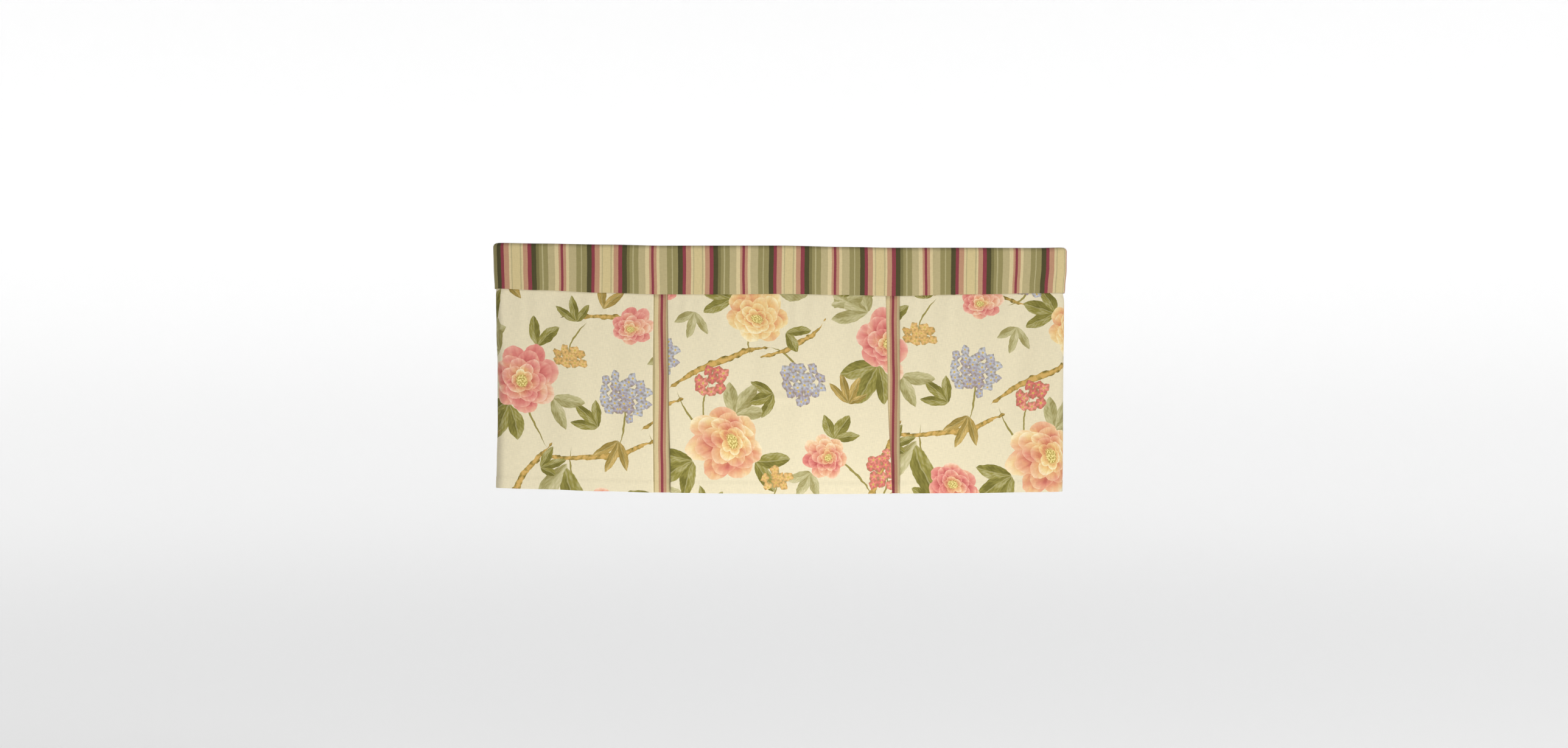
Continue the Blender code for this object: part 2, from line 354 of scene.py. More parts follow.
def hanging_rows():
    """Lengths down the cloth from the hem, past its upper edge, to the band's edge and the tucked top."""
    hem_top = DROP - HEM_HEIGHT
    above = spaced(hem_top - HEM_BLEND, 0.0, ROW_PITCH)
    return spaced(DROP, hem_top, ROW_PITCH) + [hem_top, *above, 0.0, -TUCK]


def panel_edges(left_pleat, right_pleat, z):
    """Where the front of a panel starts and ends along the plan at one height."""
    start, end = 0.0, WHOLE_RUN
    if left_pleat:
        start = front_run(blend(left_pleat, "z", "right", z)) + FOLD_SET_BACK
    if right_pleat:
        end = front_run(blend(right_pleat, "z", "left", z)) - FOLD_SET_BACK
    return start, end


def across_panel(length, start, end):
    """Turn a length along the cloth, from the front's left end, into a run and a depth."""
    front = end - start
    if 0 <= length <= front:
        return start + length, FRONT_DEPTH
    side, past = (-1, -length) if length < 0 else (1, length - front)
    fold_centre = start if side < 0 else end
    if past <= FOLD_RUN:
        turn = past / FOLD_RADIUS
        depth = FRONT_DEPTH + FOLD_RADIUS * (1 - math.cos(turn))
        return fold_centre + side * FOLD_RADIUS * math.sin(turn), depth
    return fold_centre - side * (past - FOLD_RUN), FLAP_DEPTH


def panel_columns(left_pleat, right_pleat, front):
    """Stations along the cloth, close together round the folds and corners."""
    columns = []
    if left_pleat:
        columns += spaced(-FOLD_RUN - FLAP, -FOLD_RUN, FLAP_PITCH) + spaced(-FOLD_RUN, 0.0, FOLD_PITCH)
        columns += spaced(0.0, front if right_pleat else FRONT_END - WHOLE_RUN + front, COLUMN_PITCH)
    else:
        columns += RETURN_COLUMNS + spaced(FRONT_START, front, COLUMN_PITCH)
    if right_pleat:
        columns += spaced(front, front + FOLD_RUN, FOLD_PITCH)
        columns += spaced(front + FOLD_RUN, front + FOLD_RUN + FLAP, FLAP_PITCH) + [front + FOLD_RUN + FLAP]
    else:
        corner = front - FRONT_START
        back = front - RETURN + CORNER
        columns += spaced(corner, back, CORNER_PITCH) + spaced(back, front, FLAP_PITCH) + [front]
    return columns


def lift_beside(x, z, left_pleat, right_pleat):
    """How far a panel stands forwards beside its pleats."""
    lift = 0.0
    if left_pleat:
        past = max(x - blend(left_pleat, "z", "right", z), 0.0)
        lift += blend(left_pleat, "z", "right_lift", z) * bump(past, LIFT_REACH)
    if right_pleat:
        past = max(blend(right_pleat, "z", "left", z) - x, 0.0)
        lift += blend(right_pleat, "z", "left_lift", z) * bump(past, LIFT_REACH)
    return lift


def hem_thickness(down):
    """How much of the full thickness a row has: all of it in the turned-up hem."""
    return 1 - ramp(DROP - down, HEM_HEIGHT, HEM_HEIGHT + HEM_BLEND)


def hang_panel(name, left_pleat, right_pleat, cut_left, cut_top):
    """One flowered panel between its pleats or returns, with its flat width."""
    start, end = panel_edges(left_pleat, right_pleat, MIDDLE_HEIGHT)
    front = end - start
    columns = panel_columns(left_pleat, right_pleat, front)

    def point(across, down):
        start, end = panel_edges(left_pleat, right_pleat, height_at(WHOLE_RUN / 2, down))
        share = min(max(across / front, 0.0), 1.0)
        run, depth = across_panel(across + share * (end - start - front), start, end)
        z = height_at(run, down)
        return place(run, depth, z, lift_beside(rail(run)[0], z, left_pleat, right_pleat))

    cloth = hang_sheet(name, columns, hanging_rows(), point, cut_left, cut_top, hem_thickness)
    return thicken(cloth), columns[-1] - columns[0]


# %% [markdown]
# ## Three panels
#
# Each panel is cut from its own part of the flowered cloth, so no two show the same flowers. Each
# piece then hangs from the root, hides the part it replaces, and prints how large it was cut, flat.

# %% Hang the three panels
Panel = namedtuple("Panel", "name node left_pleat right_pleat cut_left cut_top")
PANELS = (
    Panel("cloth_panel_left", "panel_left", None, LEFT_PLEAT, 0.00, 0.50),
    Panel("cloth_panel_centre", "panel_centre", LEFT_PLEAT, RIGHT_PLEAT, 0.37, 0.42),
    Panel("cloth_panel_right", "panel_right", RIGHT_PLEAT, None, 0.20, 0.45),
)


def declare(cloth, node, flat):
    """Hang a piece from the root body, hide the part it replaces, and print how large it was cut."""
    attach(cloth, "root")
    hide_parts(node)
    print(cloth.name, "is cut", [round(side, 3) for side in flat], "m")


flowered = []
for panel in PANELS:
    cloth, width = hang_panel(panel.name, panel.left_pleat, panel.right_pleat, panel.cut_left, panel.cut_top)
    declare(cloth, panel.node, (width, DROP + TUCK))
    flowered.append(cloth)

# %% [markdown]
# ## The striped inserts
#
# Behind each open pleat hangs a plain strip, cut so that its thin crimson stripe runs down the
# middle. It is flat, so it needs only a few columns, but it takes as many rows as the panels do.

# %% Hang the two inserts
INSERT_PITCH = 0.0055


def hang_insert(name, pleat, cut_left):
    """The strip behind one pleat."""
    middle = front_run(sum(row.left + row.right for row in pleat) / (2 * len(pleat)))
    columns = spaced(0.0, INSERT_WIDTH, INSERT_PITCH) + [INSERT_WIDTH]

    def point(across, down):
        run = middle - INSERT_WIDTH / 2 + across
        return place(run, INSERT_DEPTH, height_at(run, down))

    cloth = hang_sheet(name, columns, hanging_rows(), point, cut_left, 0.0, hem_thickness)
    return thicken(cloth)


inserts = []
Insert = namedtuple("Insert", "name node pleat cut_left")
INSERTS = (
    Insert("cloth_insert_left", "insert_left", LEFT_PLEAT, 0.0648),
    Insert("cloth_insert_right", "insert_right", RIGHT_PLEAT, 0.0677),
)
for insert in INSERTS:
    cloth = hang_insert(insert.name, insert.pleat, insert.cut_left)
    declare(cloth, insert.node, (INSERT_WIDTH, DROP + TUCK))
    inserts.append(cloth)

# %% [markdown]
# ## The heading
#
# The striped strip goes up the front, over the top in a half circle and down the back, which leaves
# a pocket for a rod. Its lengths are measured from the band's lower edge, up and over.

# %% Fold the heading over
HEADING_DEPTH = 0.0010
POCKET_RADIUS = 0.0070
BAND_HEIGHT = 0.084
BACK_RISE = 0.014
HEADING_CUT = 0.0697
HEADING_PITCH = 0.0045
POCKET_PITCH = 0.0022


def heading_point(across, up):
    """A point of the heading: so far along the plan, so far up the front and over the top."""
    x = rail(across)[0]
    top = blend(SECTIONS, "x", "top", x) - HEADING_DEPTH - POCKET_RADIUS
    band = blend(SECTIONS, "x", "band", x)
    if up <= BAND_HEIGHT:
        return place(across, HEADING_DEPTH, band + (top - band) * up / BAND_HEIGHT)
    turn = (up - BAND_HEIGHT) / POCKET_RADIUS
    if turn <= math.pi:
        depth = HEADING_DEPTH + POCKET_RADIUS * (1 - math.cos(turn))
        return place(across, depth, top + POCKET_RADIUS * math.sin(turn))
    down = (up - BAND_HEIGHT - math.pi * POCKET_RADIUS) / (BAND_HEIGHT - BACK_RISE)
    return place(across, HEADING_DEPTH + 2 * POCKET_RADIUS, top + (band + BACK_RISE - top) * down)


over = BAND_HEIGHT + math.pi * POCKET_RADIUS
heading_rows = spaced(0.0, BAND_HEIGHT, HEADING_PITCH) + spaced(BAND_HEIGHT, over, POCKET_PITCH)
heading_rows += spaced(over, over + BAND_HEIGHT - BACK_RISE, HEADING_PITCH)
heading_rows.append(over + BAND_HEIGHT - BACK_RISE)
heading_columns = RETURN_COLUMNS + spaced(FRONT_START, FRONT_END, COLUMN_PITCH)
heading_columns += [WHOLE_RUN - run for run in (FRONT_START, *reversed(RETURN_COLUMNS))]
heading = thicken(hang_sheet("cloth_heading", heading_columns, heading_rows, heading_point, HEADING_CUT))
declare(heading, "heading", (WHOLE_RUN, heading_rows[-1]))

# %% [markdown]
# ## Shader arithmetic written as Python
#
# A pattern is a formula, and a formula reads best as one. `Value` wraps a node's socket, and each
# operator on it adds a Math node, so `1 - mask * 0.5` builds two. `Paint` is one material: its
# method `node` makes any other node from a type, its settings, and the values of its sockets.

# %% A small language for materials
class Value:
    """A socket that can be added, multiplied and compared; every operation adds a Math node."""

    def __init__(self, paint, socket):
        self.paint = paint
        self.socket = socket

    def __add__(self, other):
        return self.paint.math("ADD", self, other)

    __radd__ = __add__

    def __sub__(self, other):
        return self.paint.math("SUBTRACT", self, other)

    def __rsub__(self, other):
        return self.paint.math("SUBTRACT", other, self)

    def __mul__(self, other):
        return self.paint.math("MULTIPLY", self, other)

    __rmul__ = __mul__

    def __truediv__(self, other):
        return self.paint.math("DIVIDE", self, other)

    def __lt__(self, other):
        return self.paint.math("LESS_THAN", self, other)

    def __abs__(self):
        return self.paint.math("ABSOLUTE", self)


class Paint:
    """One material and the nodes that paint it."""

    def __init__(self, name):
        self.material = bpy.data.materials.new(name)
        self.material.use_nodes = True
        self.tree = self.material.node_tree
        self.shader = self.tree.nodes["Principled BSDF"]

    def feed(self, socket, value):
        """Link a Value to a socket, or set the socket's own value."""
        if isinstance(value, Value):
            self.tree.links.new(value.socket, socket)
        else:
            socket.default_value = value

    def node(self, kind, settings, inputs, output=0):
        """Make a node from its type, its settings, and the values or links of its sockets."""
        made = self.tree.nodes.new(kind)
        for key, value in settings.items():
            if key == "stops":
                self.set_stops(made.color_ramp, value)
            else:
                setattr(made, key, value)
        for key, value in inputs.items():
            self.feed(made.inputs[key], value)
        return Value(self, made.outputs[output])

    def set_stops(self, ramp_data, stops):
        """Give a ramp its stops, each a place and a colour."""
        while len(ramp_data.elements) < len(stops):
            ramp_data.elements.new(1.0)
        for element, (place_on_ramp, colour) in zip(ramp_data.elements, stops):
            element.position = place_on_ramp
            element.color = (*colour, 1.0)

    def math(self, operation, *terms):
        return self.node("ShaderNodeMath", {"operation": operation}, dict(enumerate(terms)))

    def clamped(self, value):
        """Keep a value between nothing and one."""
        return self.node("ShaderNodeMath", {"operation": "ADD", "use_clamp": True}, {0: value, 1: 0.0})

    def fade(self, value, start, end):
        """Ease from 0 at the start to 1 at the end."""
        settings = {"interpolation_type": "SMOOTHSTEP"}
        return self.node("ShaderNodeMapRange", settings, {"Value": value, "From Min": start, "From Max": end})

    def vector(self, operation, *terms):
        """Vector Math that gives a vector."""
        return self.node("ShaderNodeVectorMath", {"operation": operation}, dict(enumerate(terms)))

    def dot(self, vector, direction):
        """How far a vector reaches in a direction."""
        settings = {"operation": "DOT_PRODUCT"}
        return self.node("ShaderNodeVectorMath", settings, {0: vector, 1: direction}, "Value")

    def length(self, vector, point=(0.0, 0.0, 0.0)):
        """The distance from a vector to a point."""
        settings = {"operation": "DISTANCE"}
        return self.node("ShaderNodeVectorMath", settings, {0: vector, 1: point}, "Value")

    def split(self, vector):
        """A vector's x, y and z."""
        made = self.node("ShaderNodeSeparateXYZ", {}, {0: vector})
        return [Value(self, output) for output in made.socket.node.outputs]

    def join(self, x, y, z=0.0):
        return self.node("ShaderNodeCombineXYZ", {}, {0: x, 1: y, 2: z})

    def mix_value(self, share, first, second):
        return self.node("ShaderNodeMix", {"data_type": "FLOAT"}, {0: share, 2: first, 3: second}, 0)

    def mix_vector(self, share, first, second):
        return self.node("ShaderNodeMix", {"data_type": "VECTOR"}, {0: share, 4: first, 5: second}, 1)

    def mix(self, share, first, second, blend_type="MIX"):
        """Mix two colours, each a Value or red, green and blue."""
        first, second = (c if isinstance(c, Value) else (*c, 1.0) for c in (first, second))
        settings = {"data_type": "RGBA", "blend_type": blend_type}
        return self.node("ShaderNodeMix", settings, {0: share, 6: first, 7: second}, 2)

    def ramp(self, value, stops, interpolation="LINEAR"):
        made = self.node("ShaderNodeValToRGB", {"stops": stops}, {0: value})
        made.socket.node.color_ramp.interpolation = interpolation
        return made

    def noise(self, vector, scale, detail=1.0, output=0, **inputs):
        sockets = {"Vector": vector, "Scale": scale, "Detail": detail, **inputs}
        return self.node("ShaderNodeTexNoise", {"noise_dimensions": "2D"}, sockets, output)

    def attribute(self, name):
        return self.node("ShaderNodeAttribute", {"attribute_name": name}, {}, "Fac")

    def cut(self):
        """Where a point lies on the flat cloth, in metres."""
        return self.node("ShaderNodeUVMap", {"uv_map": "cut"}, {})


def srgb(red, green, blue):
    """A colour from its usual 0 to 255 values, as the linear light that shaders use."""
    def linear(value):
        value /= 255
        return value / 12.92 if value <= 0.04045 else ((value + 0.055) / 1.055) ** 2.4
    return linear(red), linear(green), linear(blue)


# %% [markdown]
# ## Cloth itself
#
# Both cottons share a finish: a matt surface with a faint bloom, a fine weave, and slubs, which are
# the thicker yarns of natural cotton. The weave is noise stretched along the warp and along the
# weft, and its colour is darkened where the yarns lie low, as painted shade in its hollows. Its wrong
# side is paler, because a print and a dyed stripe hardly show through.

# %% Weave and finish
YARN_SCALE = 900.0
YARN_STRETCH = 9.0
WEAVE_HEIGHT = 0.00012
BUMP_STRENGTH = 0.6
# Painted shade: the colour falls to 0.88 of itself where the yarns lie lowest.
YARN_HOLLOW_SHADE = ((0.30, (0.88, 0.88, 0.88)), (0.70, (1.0, 1.0, 1.0)))
WRONG_SIDE_PALE = 0.72
CLOTH_ROUGHNESS = 0.86
CLOTH_SPECULAR = 0.22
CLOTH_BLOOM = 0.08


def weave(paint, cloth):
    """The height of the yarns, from 0 to 1."""
    x, y, _ = paint.split(cloth)
    warp = paint.noise(paint.join(x, y / YARN_STRETCH), YARN_SCALE)
    weft = paint.noise(paint.join(x / YARN_STRETCH, y), YARN_SCALE)
    return warp * 0.5 + weft * 0.5


def finish_cloth(paint, cloth, colour, pale):
    """Weave, wrong side and sheen for a cotton of a given colour."""
    yarns = weave(paint, cloth)
    colour = paint.mix(paint.attribute("wrong_side") * WRONG_SIDE_PALE, colour, pale)
    # Painted shade in the weave's hollows: the colour is darker where the yarns lie lower.
    shade = paint.ramp(yarns, YARN_HOLLOW_SHADE)
    colour = paint.mix(1.0, colour, shade, "MULTIPLY")
    paint.feed(paint.shader.inputs["Base Color"], colour)
    sockets = {"Height": yarns, "Distance": WEAVE_HEIGHT, "Strength": BUMP_STRENGTH}
    bumps = paint.node("ShaderNodeBump", {}, sockets)
    paint.feed(paint.shader.inputs["Normal"], bumps)
    paint.shader.inputs["Roughness"].default_value = CLOTH_ROUGHNESS
    paint.shader.inputs["Specular IOR Level"].default_value = CLOTH_SPECULAR
    paint.shader.inputs["Sheen Weight"].default_value = CLOTH_BLOOM
    print(paint.material.name, "has", len(paint.tree.nodes), "nodes")


# %% [markdown]
# ## The striped cotton
#
# Upright stripes of many widths repeat across the cloth. One ramp with sharp stops holds a repeat,
# and the cloth's own length across, divided by the repeat, is wrapped to run along it. The table
# lists the stripes from left to right, each with its colour and its width in millimetres.

# %% Stripes
STRIPE_REPEAT = 0.1698
WANDER = 0.0030
WANDER_SCALE = 9.0
FUZZ = 0.0006
FUZZ_SCALE = 700.0
STRIPE_BACK = srgb(214, 204, 176)
DARK = srgb(78, 72, 42)
CRIMSON = srgb(140, 62, 70)
ROSE = srgb(186, 142, 112)
CREAM = srgb(212, 194, 148)
BUTTER = srgb(208, 190, 140)
OLIVE = srgb(148, 138, 90)
MOSS = srgb(122, 114, 70)
KHAKI = srgb(184, 170, 126)
LIGHT = srgb(176, 166, 122)
STRIPES = (
    (DARK, 8.5), (CRIMSON, 6.0), (ROSE, 9.0), (CREAM, 4.5), (KHAKI, 1.6), (BUTTER, 14.5),
    (KHAKI, 3.2), (CREAM, 3.2), (ROSE, 8.6), (CRIMSON, 7.0), (DARK, 9.0), (MOSS, 5.0), (OLIVE, 5.6),
    (LIGHT, 2.4), (OLIVE, 8.6), (KHAKI, 13.2), (CREAM, 6.8), (ROSE, 4.6), (CRIMSON, 4.6), (ROSE, 5.2),
    (CREAM, 5.4), (KHAKI, 14.0), (OLIVE, 8.4), (LIGHT, 1.8), (OLIVE, 10.0),
)


def striped_cloth(name):
    """The striped cotton."""
    paint = Paint(name)
    cloth = paint.cut()
    wander = paint.noise(cloth, WANDER_SCALE) * WANDER + paint.noise(cloth, FUZZ_SCALE) * FUZZ
    across = paint.split(cloth)[0] + wander
    total = sum(width for _, width in STRIPES)
    stops = []
    reached = 0.0
    for colour, width in STRIPES:
        stops.append((reached / total, colour))
        reached += width
    colour = paint.ramp(paint.math("FRACT", across / STRIPE_REPEAT), stops, "CONSTANT")
    finish_cloth(paint, cloth, colour, STRIPE_BACK)
    return paint.material


# %% [markdown]
# ## The flowered cotton: motifs and their places
#
# The print is a trailing garden of open roses, balls of small florets, leaves and stems on cream. It
# repeats, so a motif needs its place once: the cloth's coordinates are wrapped to the repeat that
# lies nearest the motif, then turned and scaled so that the motif's own formula can ignore all that.
# Many motifs of a kind share one costly formula: each place only says how deep a point lies in it,
# and the deepest wins and passes its own coordinates on.

# %% Where the motifs go
REPEAT_X = 0.640
REPEAT_Y = 0.500
Rose = namedtuple("Rose", "x y turn size tint")
ROSES = (
    Rose(0.150, 0.335, 20, 0.068, 0.05),
    Rose(0.470, 0.140, 200, 0.072, 0.60),
    Rose(0.300, 0.085, 300, 0.047, 0.15),
    Rose(0.535, 0.385, 100, 0.058, 0.95),
    Rose(0.015, 0.115, 150, 0.045, 0.30),
    Rose(0.355, 0.440, 60, 0.038, 0.05),
)
Cluster = namedtuple("Cluster", "x y size tint")
CLUSTERS = (
    Cluster(0.335, 0.305, 0.048, 0.0),
    Cluster(0.618, 0.255, 0.040, 0.0),
    Cluster(0.130, 0.085, 0.039, 1.0),
    Cluster(0.240, 0.375, 0.026, 2.0),
    Cluster(0.565, 0.075, 0.027, 2.0),
    Cluster(0.450, 0.260, 0.026, 1.0),
    Cluster(0.445, 0.470, 0.024, 0.0),
)
Stem = namedtuple("Stem", "x y to_x to_y bend thickness")
BRANCHES = (
    Stem(0.085, 0.000, 0.195, 0.215, 0.16, 0.0130),
    Stem(0.185, 0.195, 0.395, 0.225, -0.20, 0.0110),
    Stem(0.370, 0.240, 0.560, 0.320, 0.20, 0.0110),
    Stem(0.540, 0.300, 0.660, 0.365, -0.25, 0.0090),
    Stem(0.370, 0.015, 0.600, 0.005, 0.18, 0.0100),
    Stem(0.215, 0.450, 0.440, 0.425, 0.22, 0.0090),
)
STEMS = (
    Stem(0.150, 0.335, 0.185, 0.210, -0.25, 0.0042),
    Stem(0.470, 0.140, 0.385, 0.235, 0.25, 0.0044),
    Stem(0.300, 0.085, 0.235, 0.210, 0.30, 0.0036),
    Stem(0.535, 0.385, 0.520, 0.305, -0.30, 0.0040),
    Stem(0.015, 0.115, 0.100, 0.045, 0.30, 0.0038),
    Stem(0.335, 0.305, 0.325, 0.215, 0.25, 0.0036),
    Stem(0.618, 0.255, 0.560, 0.320, -0.30, 0.0034),
    Stem(0.130, 0.085, 0.110, 0.030, 0.25, 0.0032),
    Stem(0.240, 0.375, 0.265, 0.445, 0.30, 0.0030),
    Stem(0.565, 0.075, 0.520, 0.010, 0.30, 0.0030),
    Stem(0.450, 0.260, 0.440, 0.150, -0.20, 0.0030),
    Stem(0.445, 0.470, 0.400, 0.430, 0.30, 0.0030),
)
Spray = namedtuple("Spray", "x y heading length width leaves spread tint")
SPRAYS = (
    Spray(0.120, 0.285, 235, 0.040, 0.46, 3, 46, 0.10),
    Spray(0.205, 0.300, 320, 0.034, 0.44, 2, 60, 0.55),
    Spray(0.100, 0.385, 145, 0.036, 0.40, 3, 44, 0.55),
    Spray(0.175, 0.395, 70, 0.030, 0.40, 2, 60, 0.20),
    Spray(0.410, 0.105, 205, 0.040, 0.44, 3, 46, 0.20),
    Spray(0.525, 0.110, 330, 0.036, 0.46, 2, 62, 0.05),
    Spray(0.490, 0.195, 55, 0.034, 0.42, 3, 44, 0.55),
    Spray(0.265, 0.060, 200, 0.028, 0.42, 3, 48, 0.15),
    Spray(0.335, 0.055, 320, 0.027, 0.42, 2, 62, 0.55),
    Spray(0.490, 0.410, 160, 0.034, 0.44, 3, 46, 0.10),
    Spray(0.580, 0.420, 40, 0.032, 0.42, 3, 46, 0.60),
    Spray(0.585, 0.350, 330, 0.027, 0.40, 2, 60, 0.20),
    Spray(0.035, 0.150, 60, 0.028, 0.44, 3, 50, 0.10),
    Spray(0.630, 0.080, 240, 0.026, 0.42, 3, 48, 0.60),
    Spray(0.325, 0.225, 250, 0.033, 0.28, 3, 40, 0.85),
    Spray(0.285, 0.245, 130, 0.028, 0.36, 3, 40, 0.20),
    Spray(0.110, 0.025, 350, 0.030, 0.30, 3, 40, 0.85),
    Spray(0.060, 0.220, 80, 0.030, 0.30, 4, 36, 0.85),
    Spray(0.180, 0.170, 20, 0.026, 0.38, 3, 46, 0.20),
    Spray(0.560, 0.235, 200, 0.026, 0.38, 3, 44, 0.15),
    Spray(0.245, 0.445, 100, 0.026, 0.34, 3, 46, 0.15),
    Spray(0.420, 0.385, 250, 0.026, 0.36, 3, 48, 0.60),
    Spray(0.300, 0.475, 70, 0.024, 0.36, 2, 56, 0.85),
    Spray(0.440, 0.015, 80, 0.026, 0.36, 2, 60, 0.20),
    Spray(0.225, 0.175, 290, 0.070, 0.30, 1, 0, 0.10),
    Spray(0.230, 0.180, 240, 0.052, 0.36, 1, 0, 0.55),
    Spray(0.045, 0.395, 60, 0.062, 0.30, 1, 0, 0.20),
    Spray(0.040, 0.400, 20, 0.040, 0.40, 1, 0, 0.55),
    Spray(0.555, 0.455, 95, 0.020, 0.36, 2, 60, 0.20),
)
OUTER_LEAVES_SHORTER = 0.12


def seen_from(paint, cloth, x, y, turn, size, narrow=1.0, tint=0.0):
    """The cloth as a motif sees it: nearest repeat, its own heading and scale, its tint as z."""
    away = paint.vector("SUBTRACT", cloth, (x, y, 0.0))
    half_x, half_y = REPEAT_X / 2, REPEAT_Y / 2
    near = paint.vector("WRAP", away, (half_x, half_y, 1.0), (-half_x, -half_y, -1.0))
    along_x, along_y = math.cos(turn) / size, math.sin(turn) / size
    along = paint.dot(near, (along_x, along_y, 0.0))
    aside = paint.dot(near, (-along_y / narrow, along_x / narrow, 0.0))
    return paint.join(along, aside, tint)


def leaves_of(spray):
    """The leaves of a spray, fanned about its heading: middle x and y, turn and half length."""
    for i in range(spray.leaves):
        aside = i - (spray.leaves - 1) / 2
        turn = math.radians(spray.heading + spray.spread * aside)
        size = spray.length * (1 - OUTER_LEAVES_SHORTER * abs(aside))
        yield spray.x + size * math.cos(turn), spray.y + size * math.sin(turn), turn, size


print("leaves in a repeat:", sum(spray.leaves for spray in SPRAYS))

# %% [markdown]
# ## Leaves
#
# A leaf is a lens, the overlap of two discs. Folding the leaf over its midrib with an absolute value
# leaves one disc to test: a point is inside when it is near enough to that disc's middle. The half
# below the midrib is darker, the midrib is a light line, and veins are soft slanting waves.

# %% Leaves
LENS = 0.5
LENS_DROP = (1 - LENS * LENS) / (2 * LENS)
LENS_REACH = (1 + LENS * LENS) / (2 * LENS)
SAGE = srgb(184, 176, 128)
LEAF = srgb(146, 138, 68)
DEEP_LEAF = srgb(110, 104, 44)
LEAF_TONES = ((0.0, DEEP_LEAF), (0.5, LEAF), (1.0, SAGE))
PALE_TONES = ((0.0, srgb(150, 140, 84)), (0.5, SAGE), (1.0, srgb(208, 198, 158)))
GOLDEN_TONES = ((0.0, srgb(138, 118, 56)), (0.5, srgb(172, 146, 78)), (1.0, srgb(214, 184, 118)))
VEINS_ALONG = 22
VEINS_ASIDE = 30
VEIN_DEPTH = 0.07


def leaves(paint, cloth, ground):
    """Lay every leaf on the ground."""
    best = LENS_REACH
    winner = (0.0, 0.0, 0.0)
    for spray in SPRAYS:
        for x, y, turn, size in leaves_of(spray):
            here = seen_from(paint, cloth, x, y, turn, size, spray.width / LENS, spray.tint)
            reach = paint.length(paint.vector("ABSOLUTE", here), (0.0, -LENS_DROP, spray.tint))
            better = reach < best
            winner = paint.mix_vector(better, winner, here)
            best = paint.math("MINIMUM", reach, best)
    along, aside, tint = paint.split(winner)
    inside = paint.fade(best, LENS_REACH, LENS_REACH - 0.03)
    veins = paint.math("SINE", along * VEINS_ALONG - abs(aside) * VEINS_ASIDE) * VEIN_DEPTH
    half = paint.fade(aside, -0.05, 0.08)
    strokes = paint.noise(paint.join(along * 2.2, aside * 9.0 + tint * 20), 1.0, 2.0)
    wash = paint.noise(cloth, 34.0, 1.0)
    tone = half * 0.40 + veins + strokes * 0.90 + wash * 0.80 + abs(along) * 0.16 - 0.72
    olive = paint.ramp(tone, LEAF_TONES)
    pale = paint.ramp(tone, PALE_TONES)
    golden = paint.ramp(tone, GOLDEN_TONES)
    colour = paint.mix(paint.fade(tint, 0.35, 0.60), olive, pale)
    colour = paint.mix(paint.fade(tint, 0.70, 0.80), colour, golden)
    rib = paint.fade(abs(aside), 0.045, 0.015) * 0.5
    colour = paint.mix(rib, colour, SAGE)
    return paint.mix(inside, ground, colour)


# %% [markdown]
# ## Branches and stems
#
# A stem is a crescent: inside one disc and outside a second that is set a little lower. That bends
# it and thins it to points for the price of two distances. The table says where it starts and ends,
# how far it bows, and how thick it is; the discs follow from those.

# %% Branches and stems
KNOT = 0.0030
KNOT_SCALE = 55.0
BARK_SCALE = 110.0
BARK_ROUNDING = 45
STEM_GREEN = srgb(150, 138, 74)
BARK_TONES = ((0.25, srgb(206, 168, 96)), (0.45, srgb(170, 142, 72)), (0.65, srgb(112, 98, 44)))


def crescent(stem):
    """A stem's middle, turn and radius, the second disc's radius, and how far below both discs lie."""
    start, end = Vector((stem.x, stem.y)), Vector((stem.to_x, stem.to_y))
    chord = end - start
    half_angle = 2 * math.atan(abs(stem.bend))
    radius = chord.length / 2 / math.sin(half_angle)
    outwards = Vector((-chord.y, chord.x)) * math.copysign(1, stem.bend)
    turn = math.atan2(outwards.y, outwards.x) - math.pi / 2
    below = math.cos(half_angle)
    inner = 1 - stem.thickness / radius
    drop = (1 - inner * inner) / (2 * (inner - below))
    return (start + end) / 2, turn, radius, inner + drop, below, below + drop


def crescents(paint, cloth, stems):
    """How deep a point lies in the deepest of some stems, in metres; less than nothing is inside."""
    best = 1.0
    for stem in stems:
        middle, turn, radius, second, below, second_below = crescent(stem)
        here = seen_from(paint, cloth, middle.x, middle.y, turn, radius)
        outer = paint.length(here, (0.0, -below, 0.0)) - 1
        inner = second - paint.length(here, (0.0, -second_below, 0.0))
        best = paint.math("MINIMUM", best, paint.math("MAXIMUM", outer, inner) * radius)
    return best


def branches(paint, cloth, ground):
    """Lay the thin stems and the knotty branches on the ground."""
    thin = crescents(paint, cloth, STEMS)
    ground = paint.mix(paint.fade(thin, 0.0004, -0.0002), ground, STEM_GREEN)
    knots = paint.fade(paint.noise(cloth, KNOT_SCALE), 0.45, 0.75) * KNOT
    thick = crescents(paint, cloth, BRANCHES) - knots
    bark = paint.noise(cloth, BARK_SCALE, 3.0) + thick * BARK_ROUNDING
    colour = paint.ramp(bark, BARK_TONES)
    return paint.mix(paint.fade(thick, 0.0002, -0.0003), ground, colour)


# %% [markdown]
# ## Florets
#
# A Voronoi texture scatters one cell for each floret over all the cloth. A floret shows only where
# its own middle lies within one of the clusters, so no cluster cuts a floret in half. Five petals
# come from a cosine of five times the angle about the middle.

# %% Florets
FLORET_PITCH = 0.0150
FLORET_SIZE = 0.0106
FLORET_PETALS = 5
FLORET_SPIN = 6.3
PETAL_MIDDLE = 0.74
PETAL_WAVE = 0.24
CLUSTER_EDGE = 0.98
EYE = srgb(206, 176, 92)
LILAC_TONES = ((0.1, srgb(214, 208, 196)), (0.5, srgb(176, 178, 186)), (0.9, srgb(158, 136, 142)))
SALMON_TONES = ((0.1, srgb(232, 182, 150)), (0.5, srgb(216, 128, 112)), (0.9, srgb(186, 92, 84)))
AMBER_TONES = ((0.1, srgb(230, 206, 140)), (0.5, srgb(216, 172, 106)), (0.9, srgb(188, 150, 84)))


